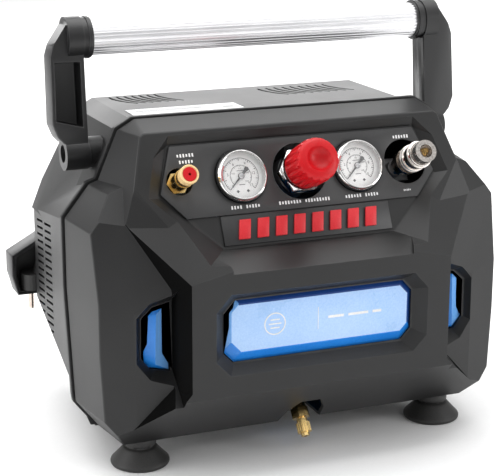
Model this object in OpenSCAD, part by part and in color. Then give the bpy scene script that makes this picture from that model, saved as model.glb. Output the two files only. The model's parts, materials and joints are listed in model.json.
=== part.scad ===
// Portable oil-free air compressor with a faceted two-part casing.
// The front faces -Y, the handle hinge lies near y = 0 before centring.

/* [Node] */
// Sub-part to draw, or all

/* [Casing] */
// Half width of the casing at the split
half_w = 187; // [185:0.5:189]
// Half width at the front edge of the side facet
half_w_front = 178; // [176:0.5:180]
// Underside of the casing above the floor
base_z = 24; // [22:0.5:25]
// Top of the front rim
rim_z = 284; // [282:0.5:286]
// Half width of the front rim
rim_half = 127; // [125:0.5:129]
// Front face position
front_y = -149; // [-151:0.5:-148]
// Plane where the two shells meet
split_y = -50; // [-52:0.5:-49]
// Rear face position
rear_y = 102; // [100:0.5:104]
// Moulded wall thickness
wall = 3; // [2.5:0.1:3.2]
// Gap between the two shells
split_gap = 2.4; // [2:0.1:3]

/* [Panel] */
// Lean of the instrument panel from upright, in degrees
panel_lean = 26; // [25:0.5:27]
// Height of the instrument row above the floor
panel_z = 240; // [239:0.5:241]
// Distance of the instrument row in front of the handle hinge
panel_y = -95; // [-96:0.5:-94]
// Raised frame height around the panel
frame_h = 4; // [3.5:0.1:4.5]
// Panel plate thickness
panel_t = 2; // [1.6:0.1:2.2]
// Gauge spacing from the middle
gauge_x = 51.8; // [51:0.1:52.5]
// Gauge case radius
gauge_r = 22; // [21.5:0.1:22.2]
// Outlet coupler distance from the middle
coupler_x = 99.5; // [98:0.5:101]
// Safety valve distance from the middle
valve_x = -104; // [-106:0.5:-103]

/* [Handle] */
// Height of the handle hinge
hinge_z = 250; // [249:0.5:252]
// Hinge distance behind the middle plane
hinge_y = -8; // [-9:0.5:-7]
// Height of the grip tube centre
grip_z = 344; // [342:0.5:346]
// Grip tube radius
grip_r = 15; // [14.5:0.1:15.5]
// Half length of the bare grip tube
grip_half = 148; // [147:0.5:149]
// Inner face of the handle arms
arm_in = 156; // [155.6:0.1:157]
// Outer face of the handle arms
arm_out = 182; // [181:0.5:183]
// Depth of the arms front to back
arm_depth = 22; // [21:0.5:24]
// Number of flutes round the grip
flutes = 32; // [28:1:36]

/* [Tank] */
// Tank radius
tank_r = 77; // [76:0.5:77]
// Half length of the straight tank shell
tank_half = 105; // [102:1:106]
// Depth of the domed ends
dome = 42; // [38:1:44]
// Tank centre height
tank_z = 107; // [106.5:0.5:108]
// Tank centre distance from the middle plane
tank_y = -42; // [-43:0.5:-41]

// Tilt of the drain towards the front, in degrees
drain_tilt = 38; // [36:0.5:40]
// Distance of the drain cap from the tank centre
drain_reach = 106; // [104:0.5:106]

/* [Feet] */
// Foot radius at the floor
foot_r = 24.6; // [23:0.1:25]
// Foot collar radius
collar_r = 13.6; // [13:0.1:14]
// Front feet distance from the middle
foot_x = 137; // [135:0.5:139]
// Front feet position
foot_y = -83; // [-85:0.5:-81]
// Rear feet distance from the middle
rear_foot_x = 124; // [122:0.5:126]
// Rear feet position
rear_foot_y = 80; // [78:0.5:81]

/* [Pump] */
// Motor shaft height
shaft_z = 232; // [231:0.5:233]
// Motor shaft distance from the middle plane
shaft_y = 8; // [7:0.5:9]
// Stroke of the piston
stroke = 16; // [14:1:18]
// Piston radius
piston_r = 22; // [21:0.5:22]
// Number of fan blades
blades = 7; // [5:1:9]

/* [Cord] */
// Supply cord diameter
cord_d = 6.2; // [6:0.1:6.2]
// Radius of the posts the cord winds round
post_r = 22; // [21:0.5:22]
// Distance of the posts from the middle
post_x = 118; // [116:1:118]
// Height of the posts
wind_z = 122; // [121:0.5:123]

/* [Hidden] */
$fn = 64;
big = 700;
eps = 0.4;
hook_back = 134;
hook_half = 194;
plug_x = 166;
plug_y = rear_y + 15.5;
mid_y = (front_y + hook_back) / 2;
core = [0, -60, 120];
crown = [0, -60, 240];
lean_up = [0, sin(panel_lean), cos(panel_lean)];
lean_out = [0, -cos(panel_lean), sin(panel_lean)];
origin = [0, panel_y, panel_z];
lip_y = split_y + split_gap;
crank_r = stroke / 2;
bore_x = 50;
rod_y = shaft_y - crank_r;
wind_r = post_r + cord_d / 2 + 0.3;
rocker_y = rear_y - 3;
switch_x = 104;
switch_z = 180;

// Corner points of the left half of the casing
rim_corner = [-rim_half, split_y, rim_z];
neck_top = [-rim_half - 14, split_y, rim_z - 8];
neck_foot = [-rim_half - 31, split_y, rim_z - 48];
ledge_out = [-half_w + 20.5, split_y, rim_z - 51];
shoulder = [-half_w, split_y, rim_z - 77];
waist = [-half_w, split_y, 150];
hip = [-half_w + 4.5, split_y, 54];
hip_low = [-half_w + 5.5, split_y, base_z + 24];
heel = [-half_w + 24, split_y, base_z];
side_front = [-half_w_front, -111.5, 154];
side_front_low = [-half_w_front + 0.7, -111, 90];
face_top = [-113.7, front_y, 170];
face_low = [-116, front_y, 78];
groove_top = [-151, -107.7, 209.6];
groove_end = [-153, -123, 45];
pillar_low = [-143, -99.6, 240];
shelf_end = [-84, front_y, 177];
rear_side = [-174, rear_y, 177];

function mx(v) = [-v.x, v.y, v.z];
function unit(v) = v / norm(v);
function at_panel(x, s, h) = origin + [x, 0, 0] + s * lean_up + h * lean_out;
function facing(p, n, inside) = [p, n * (p - inside) > 0 ? unit(n) : -unit(n)];
function plane(a, b, c, inside) = facing(a, cross(b - a, c - a), inside);
function both(list) = concat(list, [for (p = list) [mx(p[0]), mx(p[1])]]);
function ring2(half) = concat(half, [for (i = [len(half) - 1 : -1 : 0]) [-half[i].x, half[i].y]]);

module placed() translate([0, -mid_y, 0]) children();

module sides(x = 1) {
    children();
    mirror([1, 0, 0]) children();
}

module on_panel(x, s = 0, h = 0)
    translate(at_panel(x, s, h)) rotate([90 - panel_lean, 0, 0]) children();

module beyond(p, n) {
    m = unit(n);
    translate(p) rotate([0, -asin(m.z), atan2(m.y, m.x)])
        translate([0, -big / 2, -big / 2]) cube(big);
}

module carved(planes, lo, hi, inset = 0) {
    difference() {
        translate(lo) cube(hi - lo);
        for (p = planes) beyond(p[0] - inset * p[1], p[1]);
    }
}

module tube(r_out, r_in, h) {
    difference() {
        cylinder(r = r_out, h = h);
        translate([0, 0, -eps]) cylinder(r = r_in, h = h + 2 * eps);
    }
}

module along_x(x, y, z) translate([x, y, z]) rotate([0, 90, 0]) children();

module extrude_y(y0, y1)
    translate([0, y1, 0]) rotate([90, 0, 0]) linear_extrude(y1 - y0) children();

// Facets of the lower front body, left half first
lower_front = both([
    plane(face_top, groove_top, shelf_end, core),
    plane(shoulder, waist, side_front, core),
    plane(waist, hip, side_front_low, core),
    plane(ledge_out, shoulder, [-half_w + 24, -90, rim_z - 55], core),
    plane(neck_foot, ledge_out, [-155, -90, rim_z - 49.5], core),
    plane(hip_low, heel, [-half_w_front + 0.5, -100, 52], core),
    plane([0, front_y, 74], [-10, front_y, 74], [0, front_y + 50, base_z], core)
]);

upper_front = both([
    plane(rim_corner, mx(rim_corner), [0, -81, rim_z - 6], crown),
    facing(at_panel(0, 0, frame_h), lean_out, crown),
    plane(neck_top, neck_foot, pillar_low, crown),
    plane(rim_corner, neck_top, [-129, -81, rim_z - 6], crown),
    plane(pillar_low, groove_top, [-124, -112.5, 213], crown)
]);

groove_floor = [
    facing([-151, -121, 120], [-0.33, -0.944, 0], [-160, -160, 120]),
    facing([-151, -121, 120], [-0.212, -0.977, 0], [-160, -160, 120]),
    facing([-151, -106.9, 209.6], [-0.281, -0.938, 0.2], [-160, -160, 120])
];
groove_walls = [
    plane(face_top, groove_top, [-121, -127, 159], [-170, -150, 120]),
    facing(face_top, [-0.933, -0.36, 0], [-170, -150, 120]),
    plane(face_low, groove_end, [-120, -127, 81.5], [-170, -150, 120])
];

module front_mass(inset) {
    back = split_y + (inset > 0 ? 2 : 0);
    floor_z = base_z + inset;
    carved(lower_front, [-big / 2, front_y + inset, floor_z], [big / 2, back, 262 - inset], inset);
    carved(upper_front, [-big / 2, front_y + inset, 206], [big / 2, back, big / 2], inset);
}

// Recess that holds the panel and the name plate
recess_out = [[-109, 37], [-124, 20], [-133, -12], [-77, -67]];
recess_in = [[-109.6, 30.5], [-113.5, 20], [-124, -10], [-77.5, -57.5]];
function rim_at(i) = at_panel(recess_out[i].x, recess_out[i].y, frame_h);
function floor_at(i) = at_panel(recess_in[i].x, recess_in[i].y, -panel_t);
inside_recess = at_panel(0, -10, 20);
shelf_top = floor_at(3);
shelf_brow = [0, front_y + 18, shelf_top.z - 2.7];
shelf_lip = [0, front_y, 175.5];

module recess(grow) {
    walls = both([
        plane(rim_at(0), mx(rim_at(0)), floor_at(0), inside_recess),
        plane(rim_at(0), rim_at(1), floor_at(0), inside_recess),
        plane(rim_at(1), rim_at(2), floor_at(1), inside_recess),
        plane(rim_at(2), rim_at(3), floor_at(2), inside_recess)
    ]);
    bed = [
        facing(at_panel(0, 0, -panel_t), lean_out, inside_recess),
        plane(shelf_top, mx(shelf_top), shelf_brow, inside_recess)
    ];
    brow = [
        plane(shelf_brow, shelf_brow + [1, 0, 0], shelf_lip, [0, front_y, 200]),
        facing([-79, front_y, 177], [-0.93, -0.36, 0], [0, front_y, 177]),
        facing([79, front_y, 177], [0.93, -0.36, 0], [0, front_y, 177])
    ];
    carved(concat(walls, bed), [-150, -200, 150], [150, -40, 320], -grow);
    carved(concat(walls, brow), [-150, -200, 150], [150, front_y + 30, 200], -grow);
}

module frustum_cut(outer, y_out, inner, y_in, hub, grow) {
    count = len(outer);
    walls = [for (i = [0 : count - 1])
        let (j = (i + 1) % count)
        plane([outer[i].x, y_out, outer[i].y], [outer[j].x, y_out, outer[j].y],
            [inner[i].x, y_in, inner[i].y], hub)];
    carved(walls, [-big / 2, front_y - 30, 0], [big / 2, y_in + grow, 300], -grow);
}

// Window in the front face
window_out = ring2([[-81, 91], [-93.5, 104], [-93.5, 145], [-81, 159]]);
window_in = ring2([[-75, 98], [-84, 108], [-84, 142], [-75, 152]]);
window_hole = ring2([[-74.5, 98.5], [-83.5, 108.2], [-83.5, 141.8], [-74.5, 151.5]]);
pocket_y = front_y + 10;

module window_pocket(grow)
    frustum_cut(window_out, front_y, window_in, pocket_y, [0, front_y, 125], grow);

// Tall pockets in the side grooves
slot_out = [[-119, 158], [-142, 153], [-155, 141], [-155.5, 98], [-142, 84], [-119, 81]];
slot_in = [[-119, 150], [-137, 145.5], [-146, 136], [-146.5, 104], [-138, 93], [-119, 89]];
slot_hole = [[-121, 149.2], [-136.7, 144.9], [-145.5, 135.8], [-146, 104.2], [-137.7, 93.6], [-121, 89.8]];
slot_y = -115.5;

module slot_pocket(grow)
    intersection() {
        frustum_cut(slot_out, -127, slot_in, slot_y, [-135, -125, 120], grow);
        translate([-200, -200, 0]) cube([200 - 118.5 + grow, 200, 300]);
    }

module groove(grow) {
    for (f = groove_floor)
        carved(concat([f], groove_walls), [-220, -200, 20], [0, -60, 260], -grow);
    slot_pocket(grow);
}

module notch() extrude_y(front_y - 5, -60)
    polygon([[-22, 10], [-17, 38], [-9, 50], [9, 50], [17, 38], [22, 10]]);

panel_holes = [[valve_x, 11], [-gauge_x, gauge_r + 0.3], [0, 23.5],
    [gauge_x, gauge_r + 0.3], [coupler_x - 3, 19]];

module front_casing() color([0.2, 0.2, 0.21]) placed() {
    difference() {
        front_mass(0);
        recess(0);
        window_pocket(0);
        sides() groove(0);
        difference() {
            front_mass(wall);
            recess(wall);
            window_pocket(wall);
            sides() groove(wall);
        }
        extrude_y(pocket_y - 1, pocket_y + 12) polygon(window_hole);
        sides() extrude_y(slot_y - 1, slot_y + 12) polygon(slot_hole);
        on_panel(0, 0, -panel_t - wall - 20) linear_extrude(wall + 22)
            polygon(ring2([[-105.4, 26.2], [-118.2, -9], [-101.2, -27.6]]));
        notch();
        sides() translate([foot_x, foot_y, base_z - 1]) cylinder(r = 3.2, h = wall + 2);
    }
}

// Rear shell
upper_rear = both([
    plane([0, split_y, rim_z - 3], [10, split_y, rim_z - 3], [0, 76, rim_z - 5], crown),
    plane(rim_corner + [2, 0, -3], neck_top + [3, 0, -3], rim_corner + [2, 126, -5], crown),
    plane(neck_top + [3, 0, -3], neck_foot + [4, 0, -3], neck_top + [3, 126, -3], crown),
    plane([0, rear_y, 203], [10, rear_y, 203], [0, 76, rim_z - 5], crown)
]);
lower_rear = both([
    plane(ledge_out + [4.5, 0, -3], shoulder + [4, 0, -4], rear_side, core),
    plane(neck_foot + [4, 0, -3], ledge_out + [4.5, 0, -3], [-155, rear_y, 200], core),
    plane(shoulder + [4, 0, -4], [-half_w + 4, split_y, 55], [-174, rear_y, 150], core),
    plane([-half_w + 9, split_y, 47], [-173.6, rear_y, 93], [-156, rear_y, 47], core),
    plane([0, rear_y, 203], [10, rear_y, 203], [0, 76, rim_z - 5], core),
    plane([0, rear_y, 60], [10, rear_y, 60], [0, rear_y - 18, base_z], core)
]);

module rear_mass(inset) {
    start = lip_y - (inset > 0 ? 1 : 0);
    carved(lower_rear, [-big / 2, start, base_z + inset], [big / 2, rear_y - inset, 240], inset);
    carved(upper_rear, [-big / 2, start, 178], [big / 2, rear_y - inset, big / 2], inset);
}

function flat2(v, k) = [v.x * k, 150 + (v.z - 150) * k];
module outline(k) {
    left = [rim_corner, neck_top, neck_foot, ledge_out, shoulder, waist, hip, hip_low, heel];
    polygon(concat([for (p = left) flat2(p, k)],
        [for (i = [len(left) - 1 : -1 : 0]) flat2(mx(left[i]), k)]));
}

module side_vents() {
    for (i = [0 : 17]) {
        translate([-190, 76, 172 - i * 6.4]) rotate([-9, 0, 0])
            translate([0, -13, -1.1]) cube([24, 26, 2.2]);
        translate([-195, 41, 177 - i * 6.4]) rotate([-9, 0, 0])
            translate([0, -14, -1.1]) cube([24, 28, 2.2]);
    }
}

module top_vents() {
    for (x = [-112 : 7 : -64], z = [260])
        translate([x + 58, 70, z]) rotate([0, 0, 180])
            rotate_extrude(angle = 42, $fn = 96) translate([56, 0]) square([2.4, 40]);
    for (x = [26 : 8 : 90])
        translate([x + 58, 62, 260]) rotate([0, 0, 180])
            rotate_extrude(angle = 42, $fn = 96) translate([56, 0]) square([2.4, 40]);
}

module rear_casing() color([0.3, 0.3, 0.31]) placed() {
    difference() {
        union() {
            rear_mass(0);
            extrude_y(lip_y, lip_y + 5) outline(1.01);
            extrude_y(split_y - 4, lip_y) outline(0.97);
            sides() along_x(-arm_in + 1.5, hinge_y, hinge_z) cylinder(r = 13, h = 12);
        }
        difference() {
            rear_mass(wall);
            translate([-big / 2, lip_y - 2, 0]) cube([big, 2, 400]);
        }
        extrude_y(split_y - 5, lip_y + 1) outline(0.955);
        sides() side_vents();
        top_vents();
        for (z = [70 : 9 : 180]) translate([-60, rear_y - 6, z]) cube([120, 12, 3.4]);
        translate([switch_x - 10, rear_y - 6, switch_z - 15]) cube([20, 12, 30]);
        sides() along_x(-arm_in - 4, hinge_y, hinge_z) cylinder(r = 4.2, h = 30);
        sides() translate([rear_foot_x, rear_foot_y, base_z - 1]) cylinder(r = 3.2, h = wall + 2);
        translate([-53, rear_y - 10, 72]) rotate([-90, 0, 0]) cylinder(r = 6.2, h = 20);
    }
}

module instrument_panel() color([0.36, 0.36, 0.37]) placed() {
    difference() {
        on_panel(0, 0, -panel_t) linear_extrude(panel_t) polygon([
            [-108.4, 29.2], [-121.4, -9.2], [-102.6, -30.6], [102.6, -30.6], [121.4, -9.2], [108.4, 29.2]]);
        for (p = panel_holes) on_panel(p[0], 0, -panel_t - 1) cylinder(r = p[1], h = panel_t + 2);
    }
}

module name_plate() color([0.14, 0.14, 0.15]) placed()
    on_panel(0, -43.5, -panel_t) linear_extrude(1.5) square([149, 24], center = true);

module name_bars() color([0.85, 0.2, 0.22]) placed()
    for (i = [0 : 7]) on_panel(-56 + i * 16, -43.5, 1.5 - panel_t) linear_extrude(2)
        polygon([[-6.5, -8], [3.5, -8], [6.5, 8], [-3.5, 8]]);

module legend_strips() color([0.85, 0.85, 0.85]) placed() {
    for (p = [[-101, 19, 14], [-gauge_x, -26, 24], [0, -26, 34], [gauge_x, -26, 24], [86, 22, 16]])
        on_panel(p[0], p[1], 0) linear_extrude(0.3) square([p[2], 1.4], center = true);
}

module type_label() color([0.95, 0.95, 0.95]) placed()
    translate([-118, -32, rim_z - 3.26]) rotate([-0.91, 0, 0]) cube([98, 34, 0.5]);

module window_plate() color([0.45, 0.65, 0.9]) placed() {
    hub = [0, -137, 125];
    face_y = pocket_y - 1;
    base_y = pocket_y + wall;
    edge = [[-74.2, 98.8], [-83.2, 108.4], [-83.2, 141.6], [-74.2, 151.2]];
    face = [[-68, 107], [-76, 113], [-79.5, 139], [-71.5, 147.6]];
    rim = ring2(edge);
    top = concat(face, [[71.5, 147.6], [79.5, 139], [79.5, 113], [72, 107]]);
    walls = [for (i = [0 : 7])
        let (j = (i + 1) % 8)
        plane([rim[i].x, base_y, rim[i].y], [rim[j].x, base_y, rim[j].y],
            [(top[i].x + top[j].x) / 2, face_y, (top[i].y + top[j].y) / 2], hub)];
    carved(walls, [-100, face_y, 80], [100, base_y + 0.5, 170]);
    extrude_y(base_y, base_y + 2) polygon(ring2([[-84, 94], [-90, 100], [-90, 150], [-84, 156]]));
}

module side_inlays() color([0.05, 0.5, 0.85]) placed() sides() {
    back = slot_y + wall;
    hub = [-133, slot_y + 1, 120];
    ridge = [[-134, 140], [-134, 98]];
    foot2 = [[-121.4, 148.5], [-136.3, 144.3], [-145, 135.5], [-145.5, 104.5], [-137.4, 94.2],
        [-121.4, 90.4]];
    walls = concat(
        [for (i = [1 : 4]) plane([foot2[i].x, back, foot2[i].y], [foot2[i + 1].x, back, foot2[i + 1].y],
            [ridge[i < 3 ? 0 : 1].x, slot_y - 3, ridge[i < 3 ? 0 : 1].y], hub)],
        [plane([foot2[0].x, back, foot2[0].y], [foot2[1].x, back, foot2[1].y],
            [ridge[0].x, slot_y - 3, ridge[0].y], hub),
        plane([foot2[5].x, back, foot2[5].y], [foot2[0].x, back, foot2[0].y],
            [ridge[0].x, slot_y - 3, ridge[0].y], hub)]);
    carved(walls, [-160, slot_y - 4, 80], [-100, back + 0.5, 160]);
    extrude_y(back, back + 1.8) polygon([[-122, 153], [-139, 150], [-150, 139], [-150.5, 101],
        [-140, 89], [-122, 86]]);
}

// Air tank and its fittings
module tank_dome(r, d) {
    ball = (r * r + d * d) / (2 * d);
    intersection() {
        translate([tank_half, 0, 0]) rotate([0, 90, 0]) rotate_extrude($fn = 96)
            intersection() {
                translate([0, d - ball]) circle(r = ball, $fn = 200);
                square([r, d]);
            }
        translate([tank_half - 1, -r, -r]) cube([d + 2, 2 * r, 2 * r]);
    }
}

module tank() color([0.1, 0.45, 0.8]) placed() translate([0, tank_y, tank_z]) {
    difference() {
        union() {
            along_x(-tank_half, 0, 0) cylinder(r = tank_r, h = 2 * tank_half, $fn = 96);
            sides() tank_dome(tank_r, dome);
        }
        along_x(-tank_half, 0, 0) cylinder(r = tank_r - 2, h = 2 * tank_half, $fn = 96);
        sides() tank_dome(tank_r - 2, dome - 2);
        rotate([-drain_tilt, 0, 0]) mirror([0, 0, 1]) cylinder(r = 6, h = tank_r + 10);
        translate([60, 0, 0]) cylinder(r = 6, h = tank_r + 10);
        translate([-60, 0, 0]) cylinder(r = 6, h = tank_r + 10);
    }
}

module tank_saddles() color([0.15, 0.15, 0.16]) placed() sides() difference() {
    translate([78, tank_y - 46, base_z + wall]) cube([22, 92, 36]);
    along_x(60, tank_y, tank_z) cylinder(r = tank_r + 0.05, h = 70, $fn = 96);
    translate([84, tank_y - 47, base_z + wall + 4]) cube([10, 94, 8]);
    translate([60, split_y - 7, 0]) cube([60, 13.5, 31]);
}

module on_drain(r)
    translate([0, tank_y, tank_z]) rotate([-drain_tilt, 0, 0]) translate([0, 0, -r]) children();

module drain_body() color([0.75, 0.6, 0.3]) placed() on_drain(drain_reach) {
    difference() {
        union() {
            translate([0, 0, 4]) cylinder(r = 8, h = 8.5, $fn = 6);
            translate([0, 0, 12]) cylinder(r = 5.95, h = 20);
            translate([0, 0, 22]) cylinder(r = 9, h = drain_reach - tank_r - 22.05);
            translate([0, 0, -6]) cylinder(r = 3, h = 12);
        }
        translate([0, 0, -7]) cylinder(r = 1.2, h = 60);
    }
}

module drain_cap() color([0.8, 0.66, 0.35]) placed() on_drain(drain_reach) {
    difference() {
        union() {
            translate([0, 0, -9]) cylinder(r = 6, h = 8.5, $fn = 48);
            translate([0, 0, -0.6]) cylinder(r = 4.6, h = 3.6);
            translate([0, 0, -12]) cylinder(r = 3.6, h = 3.2);
        }
        translate([0, 0, -9.5]) cylinder(r = 3.05, h = 14);
        translate([0, 0, -13]) cylinder(r = 1.6, h = 6);
        for (a = [0 : 20 : 340]) rotate([0, 0, a])
            translate([6.2, 0, -9.5]) cylinder(r = 0.55, h = 10, $fn = 16);
    }
}

module check_valve() translate([60, tank_y, tank_z + tank_r]) {
    difference() {
        union() {
            translate([0, 0, -4]) cylinder(r = 5.95, h = 8);
            cylinder(r = 10, h = 8, $fn = 6);
            cylinder(r = 7, h = 16);
        }
        translate([0, 0, -5]) cylinder(r = 3, h = 25);
    }
}

module tank_riser() translate([-60, tank_y, tank_z + tank_r]) difference() {
    union() {
        translate([0, 0, -4]) cylinder(r = 5.95, h = 8);
        cylinder(r = 9, h = 7, $fn = 6);
        cylinder(r = 4, h = 24);
    }
    translate([0, 0, -5]) cylinder(r = 2.6, h = 40);
}

module tank_fittings() color([0.75, 0.6, 0.3]) placed() {
    check_valve();
    tank_riser();
}

// Rubber feet
foot_h = base_z;
module foot() difference() {
    rotate_extrude($fn = 72) polygon([[0, 2.5], [18, 2.5], [21, 0], [foot_r - 1.2, 0], [foot_r, 1.2],
        [foot_r, 3.4], [foot_r - 4.6, 8.2], [collar_r + 0.6, 14.6], [collar_r - 1.6, 15.4],
        [collar_r - 1.6, 16.8], [collar_r, 17.4], [collar_r, foot_h], [0, foot_h]]);
    translate([0, 0, 2]) cylinder(r = 6, h = 10);
    cylinder(r = 2.6, h = 40);
}

module rubber_feet() color([0.08, 0.08, 0.08]) placed() sides() {
    translate([foot_x, foot_y, 0]) foot();
    translate([rear_foot_x, rear_foot_y, 0]) foot();
}

module foot_screw() {
    translate([0, 0, 8.6]) cylinder(r = 5, h = 3.4);
    translate([0, 0, 11]) cylinder(r = 2.6, h = 22);
}

module foot_screws() color([0.7, 0.7, 0.7]) placed() sides() {
    translate([foot_x, foot_y, 0]) foot_screw();
    translate([rear_foot_x, rear_foot_y, 0]) foot_screw();
}

// Carrying handle
grip_y = hinge_y + 9;
arm_lean = atan2(grip_y - hinge_y, grip_z - hinge_z);

module grip_tube() color([0.85, 0.85, 0.86]) placed() difference() {
    along_x(-grip_half - 6, grip_y, grip_z) cylinder(r = grip_r, h = 2 * grip_half + 12, $fn = 96);
    along_x(-grip_half - 7, grip_y, grip_z) cylinder(r = grip_r - 2, h = 2 * grip_half + 14, $fn = 96);
    for (a = [0 : 360 / flutes : 359])
        translate([-grip_half - 7, grip_y, grip_z]) rotate([a, 0, 0]) translate([0, 0, grip_r + 0.25])
            rotate([0, 90, 0]) cylinder(r = 0.8, h = 2 * grip_half + 14, $fn = 16);
}

module grip_caps() color([0.1, 0.1, 0.1]) placed() sides() difference() {
    union() {
        along_x(grip_half, grip_y, grip_z) cylinder(r = grip_r + 1.6, h = arm_in - grip_half, $fn = 72);
        along_x(grip_half + 1.5, grip_y, grip_z) cylinder(r = grip_r + 2.4, h = 2.4, $fn = 72);
    }
    along_x(grip_half - 1, grip_y, grip_z) cylinder(r = grip_r + 0.05, h = 7, $fn = 96);
}

arm_side = [[arm_in, 358], [arm_in + 14, 355.5], [arm_out - 0.5, 339], [arm_out + 2, 331],
    [arm_out + 3, 275], [arm_out - 1, 264.5], [arm_out - 6, 259], [arm_in, 259]];

module arm_core() extrude_y(-arm_depth / 2, arm_depth / 2)
    polygon([for (p = arm_side) [p.x, p.y - hinge_z]]);

// One moulding: a channel open on one face, with bosses for the grip and the hinge
module arm(open) {
    shut = 1 - open;
    difference() {
        union() {
            rotate([-arm_lean, 0, 0]) arm_core();
            along_x(arm_in, grip_y - hinge_y, grip_z - hinge_z)
                cylinder(r = grip_r + 2.6, h = 13, $fn = 72);
            along_x(arm_in - 1, 0, 0) cylinder(r = 14, h = 20, $fn = 72);
        }
        rotate([-arm_lean, 0, 0])
            extrude_y(-arm_depth / 2 + 3 - 6 * open, arm_depth / 2 - 3 + 6 * shut) polygon([
            [arm_in + 3.4, 325 - hinge_z], [arm_out - 1.6, 325 - hinge_z],
            [arm_out - 0.6, 278 - hinge_z], [arm_in + 3.4, 272 - hinge_z]]);
        along_x(arm_in - 2, 0, 0) cylinder(r = 4.05, h = 40);
        along_x(arm_in + 9, 0, 0) cylinder(r = 7.4, h = 40);
    }
}

module arm_left() color([0.13, 0.13, 0.14]) placed() translate([0, hinge_y, hinge_z])
    mirror([1, 0, 0]) arm(1);

module arm_right() color([0.13, 0.13, 0.14]) placed() translate([0, hinge_y, hinge_z]) arm(0);

module pivot_bolts() color([0.5, 0.5, 0.52]) placed() sides()
    translate([0, hinge_y, hinge_z]) difference() {
        union() {
            along_x(arm_in - 16, 0, 0) cylinder(r = 4, h = 25.4);
            along_x(arm_in + 9.3, 0, 0) cylinder(r = 6.6, h = 4);
        }
        along_x(arm_in + 11, 0, 0) cylinder(r = 3, h = 4, $fn = 6);
    }

// Gauges
module gauge_case(x) on_panel(x) difference() {
    union() {
        translate([0, 0, -20]) cylinder(r = gauge_r, h = 23, $fn = 96);
        translate([0, 0, -32]) cylinder(r = 5, h = 13);
    }
    translate([0, 0, -17]) cylinder(r = gauge_r - 1.4, h = 30, $fn = 96);
    translate([0, 0, -40]) cylinder(r = 2, h = 24);
}

module gauge_bezel(x) on_panel(x, 0, 3.1) difference() {
    union() {
        cylinder(r = gauge_r - 0.6, h = 1.6, $fn = 96);
        cylinder(r = gauge_r - 1.2, h = 2.9, $fn = 96);
    }
    translate([0, 0, -1]) cylinder(r = gauge_r - 3.2, h = 6, $fn = 96);
}

module gauge_dial(x) on_panel(x, 0, -1.2) {
    tube(gauge_r - 1.6, 1.4, 1.2);
    translate([0, 0, -15.8]) cylinder(r = 3, h = 15.9);
    translate([0, 0, -1]) cylinder(r = 1.35, h = 4.4);
}

module gauge_needle(x) on_panel(x, 0, 0.6) rotate([0, 0, 225]) difference() {
    union() {
        cylinder(r = 2.6, h = 1, $fn = 48);
        linear_extrude(0.6)
            polygon([[-7, -1.2], [0, -0.9], [14.6, -0.15], [14.6, 0.15], [0, 0.9], [-7, 1.2]]);
        translate([-7.6, 0, 0]) cylinder(r = 1.9, h = 0.6, $fn = 32);
    }
    translate([0, 0, -1]) cylinder(r = 1.4, h = 4);
}

module gauge_lens(x) on_panel(x, 0, 3.3) cylinder(r = gauge_r - 3.3, h = 1.4, $fn = 96);

module gauge_case_left() color([0.05, 0.05, 0.05]) placed() gauge_case(-gauge_x);
module gauge_case_right() color([0.05, 0.05, 0.05]) placed() gauge_case(gauge_x);
module gauge_bezel_left() color([0.85, 0.85, 0.86]) placed() gauge_bezel(-gauge_x);
module gauge_bezel_right() color([0.85, 0.85, 0.86]) placed() gauge_bezel(gauge_x);
module gauge_dial_left() color([0.95, 0.95, 0.95]) placed() gauge_dial(-gauge_x);
module gauge_dial_right() color([0.95, 0.95, 0.95]) placed() gauge_dial(gauge_x);
module needle_left() color([0.05, 0.05, 0.05]) placed() gauge_needle(-gauge_x);
module needle_right() color([0.05, 0.05, 0.05]) placed() gauge_needle(gauge_x);
module gauge_lenses() color([0.8, 0.9, 0.95]) placed() {
    gauge_lens(-gauge_x);
    gauge_lens(gauge_x);
}

// Pressure regulator
module regulator_body() color([0.6, 0.6, 0.62]) placed() on_panel(0) difference() {
    union() {
        translate([0, 0, -26]) cylinder(r = 17, h = 20);
        translate([0, 0, -6]) cylinder(r = 14.5, h = 17);
        translate([0, 0, 11]) cylinder(r = 5, h = 14);
    }
    translate([0, 0, -27]) cylinder(r = 2, h = 8);
}

module regulator_nut() color([0.8, 0.8, 0.82]) placed() on_panel(0) difference() {
    union() {
        translate([0, 0, -4]) cylinder(r = 19.6, h = 9, $fn = 6);
        translate([0, 0, 4.9]) cylinder(r = 17, h = 2.4);
    }
    translate([0, 0, -5]) cylinder(r = 14.55, h = 16);
}

module regulator_knob() color([0.8, 0.1, 0.12]) placed() on_panel(0) difference() {
    union() {
        translate([0, 0, 11.6]) cylinder(r = 17.4, h = 3.4, $fn = 72);
        translate([0, 0, 15]) cylinder(r = 18.2, h = 22, $fn = 72);
        translate([0, 0, 37]) rotate_extrude($fn = 72)
            polygon([[0, 0], [18.2, 0], [17.4, 3.4], [14.4, 5.7], [0, 5.7]]);
    }
    for (a = [0 : 20 : 340]) rotate([0, 0, a])
        translate([19.2, 0, 14.9]) cylinder(r = 2.1, h = 40, $fn = 24);
    translate([0, 0, 10]) cylinder(r = 5.05, h = 17);
    translate([0, 0, 10]) cylinder(r = 15, h = 5);
    translate([0, 0, 48.7]) sphere(r = 12, $fn = 72);
}

// Outlet coupler
module coupler_body() color([0.8, 0.78, 0.75]) placed() on_panel(coupler_x) difference() {
    union() {
        translate([0, 0, -24]) cylinder(r = 6.5, h = 12);
        translate([0, 0, -13]) cylinder(r = 10.4, h = 10, $fn = 6);
        translate([0, 0, -3.5]) cylinder(r = 8, h = 30, $fn = 64);
        translate([0, 0, 26]) cylinder(r = 9.4, h = 8.2, $fn = 64);
        translate([0, 0, -3.1]) cylinder(r = 10.8, h = 3.1, $fn = 64);
    }
    translate([0, 0, -25]) cylinder(r = 3, h = 40);
    translate([0, 0, 14]) cylinder(r = 5.6, h = 21, $fn = 64);
}

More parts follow.
